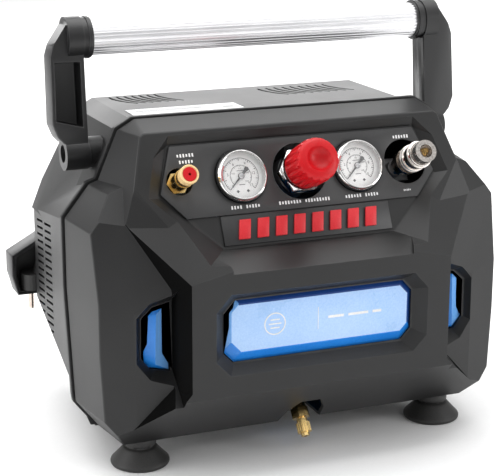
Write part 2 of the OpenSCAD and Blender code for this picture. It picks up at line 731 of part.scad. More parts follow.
module coupler_sleeve() color([0.85, 0.83, 0.8]) placed() on_panel(coupler_x, 0, 4.3) difference() {
    union() {
        cylinder(r = 10.6, h = 21.2, $fn = 64);
        for (z = [2, 5.4, 15.6]) translate([0, 0, z]) cylinder(r = 11.6, h = 2, $fn = 64);
    }
    translate([0, 0, -1]) cylinder(r = 8.06, h = 30, $fn = 64);
}

// Safety valve
module valve_body() color([0.75, 0.6, 0.3]) placed() on_panel(valve_x) difference() {
    union() {
        translate([0, 0, -24]) cylinder(r = 5, h = 10);
        translate([0, 0, -14]) cylinder(r = 9.4, h = 9, $fn = 6);
        translate([0, 0, -5.2]) cylinder(r = 7.2, h = 22);
        translate([0, 0, 9]) cylinder(r = 7.7, h = 2.4);
    }
    translate([0, 0, -25]) cylinder(r = 2, h = 20);
    translate([0, 0, 8]) cylinder(r = 2.6, h = 14);
}

module valve_ring() color([0.9, 0.8, 0.6]) placed() on_panel(valve_x, 0, 17.2) difference() {
    union() {
        cylinder(r = 7.2, h = 2, $fn = 64);
        translate([0, 0, 2]) cylinder(r = 7.8, h = 7.4, $fn = 64);
        translate([0, 0, -8]) cylinder(r = 2.5, h = 8.1);
    }
    translate([0, 0, 4]) cylinder(r = 5.8, h = 10, $fn = 64);
}

module valve_button() color([0.8, 0.12, 0.1]) placed() on_panel(valve_x, 0, 21.2) difference() {
    cylinder(r = 5.75, h = 5.7, $fn = 64);
    translate([0, 0, 2]) cylinder(r = 1.1, h = 5);
}

// Manifold behind the panel with its threaded stems
module manifold() color([0.55, 0.55, 0.57]) placed() difference() {
    union() {
        on_panel(0, 0, -46) linear_extrude(14) square([226, 20], center = true);
        on_panel(valve_x, 0, -32.2) cylinder(r = 5.5, h = 8.2);
        on_panel(0, 0, -32.2) cylinder(r = 8, h = 6.2);
        on_panel(coupler_x, 0, -32.2) cylinder(r = 7, h = 8.2);
    }
    for (x = [valve_x, -gauge_x, 0, gauge_x, coupler_x]) on_panel(x, 0, -40) cylinder(r = 2, h = 30);
}

// Motor and pump
module on_shaft(x) along_x(x, shaft_y, shaft_z) children();

module motor_stator() color([0.55, 0.55, 0.58]) placed() difference() {
    union() {
        translate([-84, shaft_y - 34, shaft_z - 34]) cube([50, 68, 68]);
        for (s = [-1, 1]) translate([-90, shaft_y - 22, shaft_z + s * 27 - 6]) cube([62, 44, 12]);
    }
    on_shaft(-95) cylinder(r = 21.4, h = 80);
}

module motor_brackets() color([0.2, 0.2, 0.21]) placed() difference() {
    union() {
        for (x = [-98, -27]) translate([x, shaft_y - 30, shaft_z - 34]) cube([7, 60, 64]);
        for (x = [-97, -26]) translate([x, shaft_y + 10, tank_z + 40]) cube([5, 12, shaft_z - tank_z - 74]);
    }
    on_shaft(-100) cylinder(r = 6.35, h = 90);
    along_x(-120, tank_y, tank_z) cylinder(r = tank_r + 0.3, h = 140, $fn = 96);
}

module motor_rotor() color([0.6, 0.6, 0.62]) placed() {
    on_shaft(-84) cylinder(r = 21, h = 50);
    on_shaft(-122) cylinder(r = 6, h = 157.8);
}

module fan() color([0.15, 0.15, 0.16]) placed() {
    difference() {
        union() {
            on_shaft(-119) cylinder(r = 14, h = 16);
            for (a = [0 : 360 / blades : 359]) translate([-111, shaft_y, shaft_z]) rotate([a, 0, 0])
                translate([0, 0, 26]) rotate([0, 0, 32]) cube([20, 2, 30], center = true);
        }
        on_shaft(-125) cylinder(r = 6.02, h = 30);
    }
}

module crankcase() color([0.7, 0.7, 0.72]) placed() difference() {
    union() {
        translate([16, shaft_y - 34, shaft_z - 36]) cube([62, 62, 70]);
        translate([8, shaft_y, shaft_z]) rotate([0, 90, 0]) cylinder(r = 14, h = 10);
        translate([30, shaft_y - 28, tank_z + 50]) cube([36, 20, shaft_z - tank_z - 80]);
    }
    translate([22, shaft_y - 30, shaft_z - 31]) cube([80, 54, 60]);
    along_x(10, tank_y, tank_z) cylinder(r = tank_r + 0.3, h = 80, $fn = 96);
    on_shaft(0) cylinder(r = 6.35, h = 30);
    translate([50, shaft_y + 20, shaft_z]) rotate([-90, 0, 0]) cylinder(r = piston_r + 0.4, h = 20);
}

module crank() color([0.5, 0.5, 0.52]) placed() difference() {
    union() {
        on_shaft(30) cylinder(r = 15, h = 8);
        translate([38, shaft_y - crank_r, shaft_z]) rotate([0, 90, 0]) cylinder(r = 5, h = 7.5);
    }
    on_shaft(20) cylinder(r = 6.02, h = 16);
}

module piston() color([0.8, 0.8, 0.82]) placed() translate([bore_x, rod_y, shaft_z]) {
    translate([0, 30, 0]) rotate([-90, 0, 0]) cylinder(r = piston_r, h = 8, $fn = 72);
    difference() {
        union() {
            translate([-4, 6, -4]) cube([8, 25, 8]);
            translate([-4, 0, 0]) rotate([0, 90, 0]) cylinder(r = 9, h = 8);
        }
        translate([-10, 0, 0]) rotate([0, 90, 0]) cylinder(r = 5.2, h = 30);
    }
}

module cylinder_barrel() color([0.75, 0.75, 0.77]) placed() translate([bore_x, shaft_y + 28.1, shaft_z])
    rotate([-90, 0, 0]) difference() {
        union() {
            cylinder(r = piston_r + 3, h = 20, $fn = 72);
            for (z = [1 : 5.5 : 18]) translate([0, 0, z]) cylinder(r = piston_r + 10, h = 2, $fn = 72);
        }
        translate([0, 0, -1]) cylinder(r = piston_r + 0.06, h = 40, $fn = 72);
    }

module cylinder_head() color([0.72, 0.72, 0.74]) placed()
    translate([bore_x, shaft_y + 48.1, shaft_z]) difference() {
    union() {
        translate([-27, 0, -27]) cube([54, 4, 54]);
        translate([-27, 3, -27]) cube([54, 6, 54]);
        for (x = [-22 : 7 : 20]) translate([x, 8, -24]) cube([2.4, 6, 48]);
    }
    translate([0, 2, 0]) rotate([90, 0, 0]) cylinder(r = 4, h = 3);
}

module intake_filter() color([0.1, 0.1, 0.1]) placed() translate([90, shaft_y + 52.5, shaft_z + 8])
    along_x(0, 0, 0) difference() {
        union() {
            cylinder(r = 11, h = 16);
            translate([0, 0, -13]) cylinder(r = 3, h = 14);
        }
        translate([0, 0, 13]) cylinder(r = 8, h = 4);
    }

// Delivery tube from the check valve round to the side of the head
module bend(turn) rotate_extrude(angle = 90) translate([turn, 0]) circle(r = 2.98);

module delivery_tube() color([0.72, 0.45, 0.3]) placed() {
    turn = 14;
    low_z = tank_z + tank_r + 16;
    run_z = low_z + 5 + turn;
    out_x = 60 + turn + 22 + turn;
    head_y = shaft_y + 52.6;
    head_x = bore_x + 27.05;
    translate([60, tank_y, low_z]) cylinder(r = 3, h = 5.1);
    translate([60 + turn, tank_y, low_z + 5]) rotate([90, 0, 0]) rotate([0, 0, 90]) bend(turn);
    along_x(60 + turn - 0.1, tank_y, run_z) cylinder(r = 3, h = 22.2);
    translate([out_x - turn, tank_y + turn, run_z]) rotate([0, 0, -90]) bend(turn);
    translate([out_x, tank_y + turn - 0.1, run_z]) rotate([-90, 0, 0])
        cylinder(r = 3, h = head_y - tank_y - 2 * turn + 0.2);
    translate([out_x - turn, head_y - turn, run_z]) bend(turn);
    along_x(head_x, head_y, run_z) cylinder(r = 3, h = out_x - turn - head_x + 0.1);
}

module pressure_switch() color([0.12, 0.12, 0.13]) placed() difference() {
    union() {
        translate([-15, tank_y, 196]) cube([22, 34, 38]);
        translate([-4, tank_y + 17, tank_z + tank_r - 6]) cylinder(r = 6, h = 20);
    }
    along_x(-20, tank_y, tank_z) cylinder(r = tank_r + 0.05, h = 30, $fn = 96);
}

// Switch, cord and plug at the back
module switch_frame() color([0.05, 0.05, 0.05]) placed() difference() {
    union() {
        translate([switch_x - 12.5, rear_y + 0.05, switch_z - 17.5]) cube([25, 2, 35]);
        translate([switch_x - 9.8, rear_y - 14, switch_z - 14.8]) cube([19.6, 14.2, 29.6]);
    }
    translate([switch_x - 7.6, rear_y - 12, switch_z - 12.4]) cube([15.2, 16, 24.8]);
}

module switch_rocker() color([0.75, 0.1, 0.1]) placed() translate([switch_x, rocker_y, switch_z])
    rotate([6, 0, 0]) {
    difference() {
        translate([-7, -4, -11.4]) cube([14, 10, 22.8]);
        beyond([0, 4.6, 0], [0, 1, 0.18]);
        beyond([0, 4.6, 0], [0, 1, -0.18]);
    }
}

// Brackets that hold the plug and the wound cord
hook_shell = [[-hook_half, 131], [-148, 156.5], [-148, 93], [-189, 93], [-hook_half, 112]];
hook_room = [[-hook_half + 4, 128.7], [-147, 152.5], [-147, 97], [-186.2, 97], [-hook_half + 4, 112.8]];
hook_lip = [[-hook_half, 131], [-148, 156.5], [-96, 156.5], [-90, 150], [-90, 94], [-96, 88], [-146, 88],
    [-150, 93], [-189, 93], [-hook_half, 112]];

module cord_hooks() color([0.1, 0.1, 0.11]) placed() sides() difference() {
    union() {
        translate([-144, rear_y + 0.1, 96]) cube([52, 4, 52]);
        translate([-post_x, rear_y + 4, wind_z]) rotate([-90, 0, 0]) cylinder(r = post_r, h = 26, $fn = 96);
        extrude_y(hook_back - 5, hook_back) polygon(hook_lip);
        extrude_y(rear_y + 9, hook_back - 4.9) polygon(hook_shell);
    }
    extrude_y(rear_y + 4.2, hook_back - 5) polygon(hook_room);
    extrude_y(rear_y + 4.2, hook_back - 5) polygon([[-149, 151.7], [-140, 158], [-140, 90], [-149, 97]]);
    translate([-post_x, rear_y + 12, wind_z]) rotate([-90, 0, 0]) cylinder(r = post_r - 4, h = 40);
    for (x = [-9.5, 9.5]) translate([-plug_x + x, plug_y, 90]) cylinder(r = 3, h = 10);
}

module plug_body() color([0.06, 0.06, 0.06]) placed() translate([-plug_x, plug_y, 97.05]) {
    linear_extrude(15) polygon(stadium(7.6, 10.9));
    translate([0, 0, 14.9]) cylinder(r1 = 7.5, r2 = 4.2, h = wind_z - 97.05 - 14.9);
}

module plug_pins() color([0.75, 0.72, 0.68]) placed()
    for (x = [-9.5, 9.5]) translate([-plug_x + x, plug_y, 78]) cylinder(r = 2.4, h = 19);

// Sideways strain relief on the rear face
module cord_gland() color([0.08, 0.08, 0.08]) placed() translate([-53, rear_y, 72]) {
    translate([-9, 0.1, -9]) cube([18, 17, 18]);
    translate([0, -6, 0]) rotate([-90, 0, 0]) cylinder(r = 6.1, h = 7);
    along_x(8.9, 8, 0) cylinder(r1 = 6.4, r2 = 4.2, h = 24.1);
}

// Supply cord: out of the gland, round both hook posts and down into the plug
lead_in = [[-20, 110, 72], [-6, 110, 72], [10, 110, 73], [26, 110, 76], [42, 110, 81], [58, 110, 87],
    [74, 110, 92], [90, 110, 95.6], [104, 109.8, 96.6]];
lead_out = [[-118, 125.6, 147.4], [-130, 123.6, 147.4], [-141, 121, 147], [-150, 119.4, 145],
    [-158.6, 118.2, 140.6], [-164, 117.6, 134], [-166, 117.5, 128], [-166, 117.5, 122]];

function stadium(half, r) = concat([for (a = [-90 : 15 : 90]) [half + r * cos(a), r * sin(a)]],
    [for (a = [90 : 15 : 270]) [-half + r * cos(a), r * sin(a)]]);
function heading(path, i) = unit(path[min(i + 1, len(path) - 1)] - path[max(i - 1, 0)]);
function ring_at(path, i, r, sides) =
    let (d = heading(path, i), u = unit(cross(d, [0, 1, 0])), v = cross(d, u))
    [for (k = [0 : sides - 1]) path[i] + r * (cos(360 * k / sides) * u + sin(360 * k / sides) * v)];

module sweep(path, r, sides = 10) {
    last = len(path) - 1;
    points = [for (i = [0 : last]) each ring_at(path, i, r, sides)];
    skin = [for (i = [0 : last - 1], k = [0 : sides - 1])
        let (a = i * sides + k, b = i * sides + (k + 1) % sides) [a, a + sides, b + sides, b]];
    start = [for (k = [0 : sides - 1]) k];
    end = [for (k = [sides - 1 : -1 : 0]) last * sides + k];
    polyhedron(points, concat(skin, [start, end]));
}

module power_cord() color([0.06, 0.06, 0.06]) placed() {
    sweep(lead_in, cord_d / 2);
    sweep(lead_out, cord_d / 2);
}

module cord_winding() color([0.06, 0.06, 0.06]) placed() translate([0, 0, wind_z])
    extrude_y(rear_y + 4.7, rear_y + 26.7) difference() {
        polygon(stadium(post_x, wind_r + cord_d / 2));
        polygon(stadium(post_x, wind_r - cord_d / 2));
    }

module casing_screws() color([0.3, 0.3, 0.32]) placed()
    for (x = [-150, 150], z = [70, 186]) translate([x, rear_y + 0.05, z]) rotate([-90, 0, 0]) difference() {
        cylinder(r = 4, h = 2);
        translate([-3, -0.5, 1]) cube([6, 1, 2]);
        translate([-0.5, -3, 1]) cube([1, 6, 2]);
    }

front_casing();
rear_casing();
instrument_panel();
name_plate();
name_bars();
legend_strips();
type_label();
window_plate();
side_inlays();
tank();
tank_saddles();
drain_body();
drain_cap();
tank_fittings();
rubber_feet();
foot_screws();
grip_tube();
grip_caps();
arm_left();
arm_right();
pivot_bolts();
gauge_case_left();
gauge_case_right();
gauge_bezel_left();
gauge_bezel_right();
gauge_dial_left();
gauge_dial_right();
needle_left();
needle_right();
gauge_lenses();
regulator_body();
regulator_nut();
regulator_knob();
coupler_body();
coupler_sleeve();
valve_body();
valve_ring();
valve_button();
manifold();
motor_stator();
motor_brackets();
motor_rotor();
fan();
crankcase();
crank();
piston();
cylinder_barrel();
cylinder_head();
intake_filter();
delivery_tube();
pressure_switch();
switch_frame();
switch_rocker();
cord_hooks();
plug_body();
plug_pins();
cord_gland();
power_cord();
cord_winding();
casing_screws();
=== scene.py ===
"""Looks of a portable air compressor: moulded casing, gauge panel, regulator, coupler and carrying handle."""
import json
import math

import bmesh
import bpy
from mathutils import Matrix, Quaternion, Vector

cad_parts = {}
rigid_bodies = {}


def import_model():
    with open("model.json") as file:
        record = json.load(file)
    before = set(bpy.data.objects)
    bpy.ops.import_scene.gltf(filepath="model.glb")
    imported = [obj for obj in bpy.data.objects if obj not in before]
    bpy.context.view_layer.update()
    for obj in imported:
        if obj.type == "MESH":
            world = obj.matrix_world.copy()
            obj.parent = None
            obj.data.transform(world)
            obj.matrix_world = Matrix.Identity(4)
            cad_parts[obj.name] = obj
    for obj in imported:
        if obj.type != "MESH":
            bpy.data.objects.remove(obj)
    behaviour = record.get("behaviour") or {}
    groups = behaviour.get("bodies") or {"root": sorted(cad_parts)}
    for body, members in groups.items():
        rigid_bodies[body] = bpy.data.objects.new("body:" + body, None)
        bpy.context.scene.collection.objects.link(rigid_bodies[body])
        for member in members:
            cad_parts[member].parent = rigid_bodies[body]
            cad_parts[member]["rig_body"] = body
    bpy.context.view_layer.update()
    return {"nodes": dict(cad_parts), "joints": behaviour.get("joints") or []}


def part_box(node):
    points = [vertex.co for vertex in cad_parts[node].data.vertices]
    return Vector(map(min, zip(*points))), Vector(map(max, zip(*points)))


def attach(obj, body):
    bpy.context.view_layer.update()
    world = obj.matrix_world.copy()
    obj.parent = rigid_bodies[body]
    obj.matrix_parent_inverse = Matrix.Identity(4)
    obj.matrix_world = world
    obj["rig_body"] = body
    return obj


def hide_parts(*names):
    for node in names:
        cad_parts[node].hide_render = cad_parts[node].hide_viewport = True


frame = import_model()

MM = 0.001
NODES = frame["nodes"]
scene = bpy.context.scene
scene.view_settings.view_transform = "Standard"


# ---------------------------------------------------------------- camera
def place_camera():
    """Left of the front and a little above, with a long lens."""
    data = bpy.data.cameras.new("camera")
    data.sensor_width = 36
    data.lens = 111.45
    camera = bpy.data.objects.new("camera", data)
    scene.collection.objects.link(camera)
    camera.location = (-0.5014, -1.2134, 0.5333)
    aim = Vector((-0.0050, 0.0075, 0.1582)) - camera.location
    camera.rotation_mode = "QUATERNION"
    camera.rotation_quaternion = aim.to_track_quat("-Z", "Y") @ Quaternion((0, 0, 1), math.radians(0.21))
    scene.camera = camera


place_camera()


# ---------------------------------------------------------------- helpers
def clear():
    """Leaves nothing selected and no piece in edit mode."""
    if bpy.context.object and bpy.context.object.mode != "OBJECT":
        bpy.ops.object.mode_set(mode="OBJECT")
    bpy.ops.object.select_all(action="DESELECT")


def only(piece):
    """Makes one piece the selected and active one."""
    clear()
    piece.select_set(True)
    bpy.context.view_layer.objects.active = piece


def body_of(node):
    """The body that a node rides on."""
    return NODES[node]["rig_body"]


def finish_piece(piece, body, material):
    """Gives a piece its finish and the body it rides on."""
    piece.data.materials.clear()
    for m in material if isinstance(material, (list, tuple)) else [material]:
        piece.data.materials.append(m)
    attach(piece, body)
    return piece


def smooth(piece, degrees=32):
    """Smooth shading with creases kept."""
    only(piece)
    bpy.ops.object.shade_smooth_by_angle(angle=math.radians(degrees))


def is_sharp(edge, angle):
    """Whether the surface turns by more than the angle across an edge."""
    return len(edge.link_faces) == 2 and edge.calc_face_angle(0) > math.radians(angle)


def sharp_set(corner, angle):
    """Sharp edges at a corner."""
    return [e for e in corner.link_edges if is_sharp(e, angle)]


def eased(node, width, material, segments=2, angle=20, sharp=34, careful=False):
    """A copy of a moulded or turned part with its sharp edges rounded, standing for the plain one."""
    clear()
    piece = bpy.data.objects.new(node + "_finished", NODES[node].data.copy())
    scene.collection.objects.link(piece)
    only(piece)
    bpy.ops.object.mode_set(mode="EDIT")
    bpy.ops.mesh.select_all(action="SELECT")
    bpy.ops.mesh.remove_doubles(threshold=2e-6)
    bpy.ops.mesh.dissolve_limited(angle_limit=math.radians(0.4))
    bpy.ops.object.mode_set(mode="OBJECT")
    grown = bmesh.new()
    grown.from_mesh(piece.data)
    weight = grown.edges.layers.float.new("bevel_weight_edge")
    shortest = {v: min(e.calc_length() for e in v.link_edges) for v in grown.verts if v.link_edges}
    sharp_edges = [e for e in grown.edges if is_sharp(e, angle)]
    for e in sharp_edges:
        room = min(shortest[e.verts[0]], shortest[e.verts[1]])
        mixed = careful and any(o.is_convex != e.is_convex for v in e.verts for o in sharp_set(v, angle))
        e[weight] = 1.0 if room > 2.8 * width and not mixed else 0.0
    grown.to_mesh(piece.data)
    grown.free()
    bevel = piece.modifiers.new("edge_radius", "BEVEL")
    bevel.width = width
    bevel.segments = segments
    bevel.limit_method = "WEIGHT"
    bevel.use_clamp_overlap = False
    bpy.ops.object.modifier_apply(modifier=bevel.name)
    smooth(piece, sharp)
    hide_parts(node)
    return finish_piece(piece, body_of(node), material)


def turned(name, profile, place, body, material, sides=64):
    """A part turned on a lathe: (radius, height) steps in mm, closed at its ends or onto itself."""
    clear()
    radius, height = profile[0]
    bpy.ops.mesh.primitive_circle_add(vertices=sides, radius=radius * MM, location=(0, 0, height * MM))
    piece = bpy.context.object
    piece.name = name
    bpy.ops.object.transform_apply(location=True)
    bpy.ops.object.mode_set(mode="EDIT")
    bpy.ops.mesh.select_all(action="SELECT")
    for r, h in profile[1:]:
        bpy.ops.mesh.extrude_edges_move(TRANSFORM_OT_translate={"value": (0, 0, (h - height) * MM)})
        bpy.ops.transform.resize(value=(r / radius, r / radius, 1), center_override=(0, 0, h * MM))
        radius, height = r, h
    bpy.ops.mesh.select_all(action="SELECT")
    bpy.ops.mesh.remove_doubles(threshold=2.5e-5)
    bpy.ops.mesh.normals_make_consistent(inside=False)
    bpy.ops.object.mode_set(mode="OBJECT")
    piece.data.transform(place)
    smooth(piece)
    return finish_piece(piece, body, material)


def marks(name, rows, place, body, material, proud=0.06):
    """Raised print: each row is (x, y, length, width, turn in degrees) in mm on a plane."""
    clear()
    for i, (x, y, length, width, turn) in enumerate(rows):
        bpy.ops.mesh.primitive_cube_add(size=1, location=(x * MM, y * MM, proud * MM / 2),
            rotation=(0, 0, math.radians(turn)), scale=(length * MM, width * MM, proud * MM))
        if i == 0:
            piece = bpy.context.object
            piece.name = name
            bpy.ops.object.transform_apply(location=True, rotation=True, scale=True)
            bpy.ops.object.mode_set(mode="EDIT")
    bpy.ops.object.mode_set(mode="OBJECT")
    piece.data.transform(place)
    return finish_piece(piece, body, material)


def arc_band(name, inner, outer, start, sweep, place, body, material, proud=0.06):
    """A flat printed band round a dial, spun from one short bar."""
    clear()
    bpy.ops.mesh.primitive_plane_add(size=1)
    piece = bpy.context.object
    piece.name = name
    bpy.ops.object.mode_set(mode="EDIT")
    mesh = bmesh.from_edit_mesh(piece.data)
    corners = [v for v in mesh.verts]
    a = math.radians(start)
    for v, (r, z) in zip(corners, [(inner, 0), (outer, 0), (inner, proud), (outer, proud)]):
        v.co = Vector((r * math.cos(a), r * math.sin(a), z)) * MM
    bmesh.update_edit_mesh(piece.data)
    bpy.ops.mesh.select_all(action="SELECT")
    bpy.ops.mesh.spin(steps=max(6, int(abs(sweep) / 4)), angle=-math.radians(sweep), center=(0, 0, 0),
        axis=(0, 0, 1))
    bpy.ops.mesh.select_all(action="SELECT")
    bpy.ops.mesh.remove_doubles(threshold=1e-6)
    bpy.ops.mesh.normals_make_consistent(inside=False)
    bpy.ops.object.mode_set(mode="OBJECT")
    piece.data.transform(place)
    return finish_piece(piece, body, material)


def numbers(name, rows, place, body, material, proud=0.06):
    """Dial numbers: each row is (text, x, y, size) in mm."""
    made = []
    for body_text, x, y, size in rows:
        clear()
        bpy.ops.object.text_add(location=(0, 0, 0))
        text = bpy.context.object
        text.data.body = body_text
        text.data.size = size * MM
        text.data.align_x = "CENTER"
        text.data.align_y = "CENTER"
        text.data.extrude = proud * MM / 2
        text.data.resolution_u = 3
        only(text)
        bpy.ops.object.convert(target="MESH")
        text = bpy.context.object
        text.data.transform(Matrix.Translation((x * MM, y * MM, proud * MM / 2)))
        made.append(text)
    clear()
    for text in made:
        text.select_set(True)
    bpy.context.view_layer.objects.active = made[0]
    bpy.ops.object.join()
    piece = bpy.context.object
    piece.name = name
    piece.data.transform(place)
    return finish_piece(piece, body, material)


def frame_of(across, up, out, origin):
    """Matrix that puts x, y, z of a flat drawing on the given directions."""
    m = Matrix.Identity(4)
    for i, v in enumerate((across, up, out)):
        m.col[i] = Vector((*v, 0))
    m.col[3] = Vector((*origin, 1))
    return m


knob_joint = next(j for j in frame["joints"] if j["name"] == "knob_turn")
PANEL_OUT = Vector(knob_joint["axis"]).normalized()
PANEL_UP = Vector((0, PANEL_OUT.z, -PANEL_OUT.y))
PANEL_MID = Vector(knob_joint["pos_m"])


GAUGE_X = 51.8
COUPLER_X = 99.5
VALVE_X = -104


def on_panel(x, s=0.0, h=0.0):
    """Place on the sloping panel: x across, s up the slope, h out of it, in mm."""
    origin = PANEL_MID + Vector((x * MM, 0, 0)) + PANEL_UP * s * MM + PANEL_OUT * h * MM
    return frame_of((1, 0, 0), PANEL_UP, PANEL_OUT, origin)


# ---------------------------------------------------------------- node groups
def node_group(name, inputs, outputs):
    tree = bpy.data.node_groups.new(name, "ShaderNodeTree")
    for label, kind, value in inputs:
        socket = tree.interface.new_socket(label, in_out="INPUT", socket_type="NodeSocket" + kind)
        if kind != "Vector":
            socket.default_value = value
    for label, kind in outputs:
        tree.interface.new_socket(label, in_out="OUTPUT", socket_type="NodeSocket" + kind)
    return tree, tree.nodes.new("NodeGroupInput"), tree.nodes.new("NodeGroupOutput")


def math_node(tree, operation, a, b):
    node = tree.nodes.new("ShaderNodeMath")
    node.operation = operation
    for i, v in enumerate((a, b)):
        if isinstance(v, (int, float)):
            node.inputs[i].default_value = v
        else:
            tree.links.new(v, node.inputs[i])
    return node.outputs[0]


def mix_colour(tree, factor, a, b, blend="MIX"):
    node = tree.nodes.new("ShaderNodeMix")
    node.data_type = "RGBA"
    node.blend_type = blend
    for socket, v in ((node.inputs[0], factor), (node.inputs[6], a), (node.inputs[7], b)):
        if isinstance(v, (int, float, tuple)):
            socket.default_value = v
        else:
            tree.links.new(v, socket)
    return node.outputs[2]


def noise(tree, vector, scale, detail=2.0, rough=0.5):
    node = tree.nodes.new("ShaderNodeTexNoise")
    node.inputs["Detail"].default_value = detail
    node.inputs["Roughness"].default_value = rough
    if isinstance(scale, (int, float)):
        node.inputs["Scale"].default_value = scale
    else:
        tree.links.new(scale, node.inputs["Scale"])
    tree.links.new(vector, node.inputs["Vector"])
    return node.outputs["Fac"]


def ramp(tree, value, low, high):
    node = tree.nodes.new("ShaderNodeMapRange")
    node.interpolation_type = "SMOOTHSTEP"
    node.inputs["From Min"].default_value = low
    node.inputs["From Max"].default_value = high
    tree.links.new(value, node.inputs["Value"])
    return node.outputs["Result"]


def make_surface_grain():
    """Spark-eroded mould grain: fine pits, cloudy tone and a slightly uneven sheen."""
    tree, get, put = node_group("surface_grain", [("Vector", "Vector", None),
        ("Colour", "Color", (0.05, 0.05, 0.05, 1)), ("Pale Colour", "Color", (0.09, 0.09, 0.09, 1)),
        ("Cloud Size", "Float", 14.0), ("Grain Size", "Float", 1500.0), ("Roughness", "Float", 0.45),
        ("Sheen Spread", "Float", 0.12)], [("Colour", "Color"), ("Roughness", "Float"),
        ("Height", "Float")])
    o = get.outputs
    fine = noise(tree, o["Vector"], o["Grain Size"], 2.0)
    cloud = noise(tree, o["Vector"], o["Cloud Size"], 5.0, 0.6)
    tone = math_node(tree, "ADD", math_node(tree, "MULTIPLY", fine, 0.45),
        math_node(tree, "MULTIPLY", cloud, 0.55))
    tree.links.new(mix_colour(tree, ramp(tree, tone, 0.3, 0.72), o["Colour"], o["Pale Colour"]),
        put.inputs["Colour"])
    shift = math_node(tree, "MULTIPLY", math_node(tree, "SUBTRACT", cloud, 0.5), o["Sheen Spread"])
    tree.links.new(math_node(tree, "ADD", o["Roughness"], shift), put.inputs["Roughness"])
    tree.links.new(fine, put.inputs["Height"])
    return tree


def make_edge_wear():
    """Lighter rubbed line along the edges of a moulding or a painted part."""
    tree, get, put = node_group("edge_wear", [("Vector", "Vector", None),
        ("Colour", "Color", (0.05, 0.05, 0.05, 1)), ("Worn Colour", "Color", (0.2, 0.2, 0.2, 1)),
        ("Amount", "Float", 0.5)], [("Colour", "Color"), ("Mask", "Float")])
    o = get.outputs
    rounded = tree.nodes.new("ShaderNodeBevel")
    rounded.samples = 3
    rounded.inputs["Radius"].default_value = 0.0016
    true = tree.nodes.new("ShaderNodeNewGeometry")
    dot = tree.nodes.new("ShaderNodeVectorMath")
    dot.operation = "DOT_PRODUCT"
    tree.links.new(rounded.outputs[0], dot.inputs[0])
    tree.links.new(true.outputs["True Normal"], dot.inputs[1])
    edge = ramp(tree, math_node(tree, "SUBTRACT", 1.0, dot.outputs["Value"]), 0.004, 0.12)
    patch = ramp(tree, noise(tree, o["Vector"], 60.0, 4.0, 0.65), 0.38, 0.66)
    mask = math_node(tree, "MULTIPLY", math_node(tree, "MULTIPLY", edge, patch), o["Amount"])
    tree.links.new(mix_colour(tree, mask, o["Colour"], o["Worn Colour"]), put.inputs["Colour"])
    tree.links.new(mask, put.inputs["Mask"])
    return tree


def make_tool_lines():
    """Fine drawn or turned lines in metal: streaks of tone, roughness and height along one direction."""
    tree, get, put = node_group("tool_lines", [("Vector", "Vector", None),
        ("Colour", "Color", (0.7, 0.7, 0.7, 1)), ("Dull Colour", "Color", (0.5, 0.5, 0.5, 1)),
        ("Line Size", "Float", 900.0), ("Roughness", "Float", 0.2), ("Spread", "Float", 0.2)],
        [("Colour", "Color"), ("Roughness", "Float"), ("Height", "Float")])
    o = get.outputs
    lines = noise(tree, o["Vector"], o["Line Size"], 3.0, 0.6)
    smear = noise(tree, o["Vector"], 30.0, 3.0)
    tone = ramp(tree, math_node(tree, "ADD", math_node(tree, "MULTIPLY", lines, 0.6),
        math_node(tree, "MULTIPLY", smear, 0.4)), 0.32, 0.68)
    tree.links.new(mix_colour(tree, tone, o["Dull Colour"], o["Colour"]), put.inputs["Colour"])
    tree.links.new(math_node(tree, "ADD", o["Roughness"], math_node(tree, "MULTIPLY",
        math_node(tree, "SUBTRACT", lines, 0.5), o["Spread"])), put.inputs["Roughness"])
    tree.links.new(lines, put.inputs["Height"])
    return tree


GRAIN = make_surface_grain()
WEAR = make_edge_wear()
LINES = make_tool_lines()


# ---------------------------------------------------------------- materials
def new_material(name, **settings):
    material = bpy.data.materials.new(name)
    material.use_nodes = True
    shader = material.node_tree.nodes["Principled BSDF"]
    for label, value in settings.items():
        shader.inputs[label.replace("_", " ")].default_value = value
    return material, material.node_tree, shader


def place_group(tree, group, values):
    node = tree.nodes.new("ShaderNodeGroup")
    node.node_tree = group
    for label, value in values.items():
        if isinstance(value, bpy.types.NodeSocket):
            tree.links.new(value, node.inputs[label])
        else:
            node.inputs[label].default_value = value
    return node


def object_place(tree, stretch=(1, 1, 1), turn=(0, 0, 0)):
    where = tree.nodes.new("ShaderNodeTexCoord")
    mapping = tree.nodes.new("ShaderNodeMapping")
    mapping.inputs["Scale"].default_value = stretch
    mapping.inputs["Rotation"].default_value = [math.radians(a) for a in turn]
    tree.links.new(where.outputs["Object"], mapping.inputs["Vector"])
    return mapping.outputs["Vector"]


def bump(tree, shader, height, strength, distance):
    node = tree.nodes.new("ShaderNodeBump")
    node.inputs["Strength"].default_value = strength
    node.inputs["Distance"].default_value = distance
    tree.links.new(height, node.inputs["Height"])
    tree.links.new(node.outputs["Normal"], shader.inputs["Normal"])


def rgba(r, g, b):
    return (r, g, b, 1)


def moulded(name, colour, pale, rough=0.45, spread=0.12, grain=1500.0, strength=0.25, depth=0.00012,
    worn=None, amount=0.5, **settings):
    """Moulded plastic or rubber."""
    material, tree, shader = new_material(name, **settings)
    vector = object_place(tree)
    skin = place_group(tree, GRAIN, {"Vector": vector, "Colour": colour, "Pale Colour": pale,
        "Grain Size": grain, "Roughness": rough, "Sheen Spread": spread})
    tint = skin.outputs["Colour"]
    if worn:
        rubbed = place_group(tree, WEAR, {"Vector": vector, "Colour": tint, "Worn Colour": worn,
            "Amount": amount})
        tint = rubbed.outputs["Colour"]
    tree.links.new(tint, shader.inputs["Base Color"])
    tree.links.new(skin.outputs["Roughness"], shader.inputs["Roughness"])
    bump(tree, shader, skin.outputs["Height"], strength, depth)
    return material


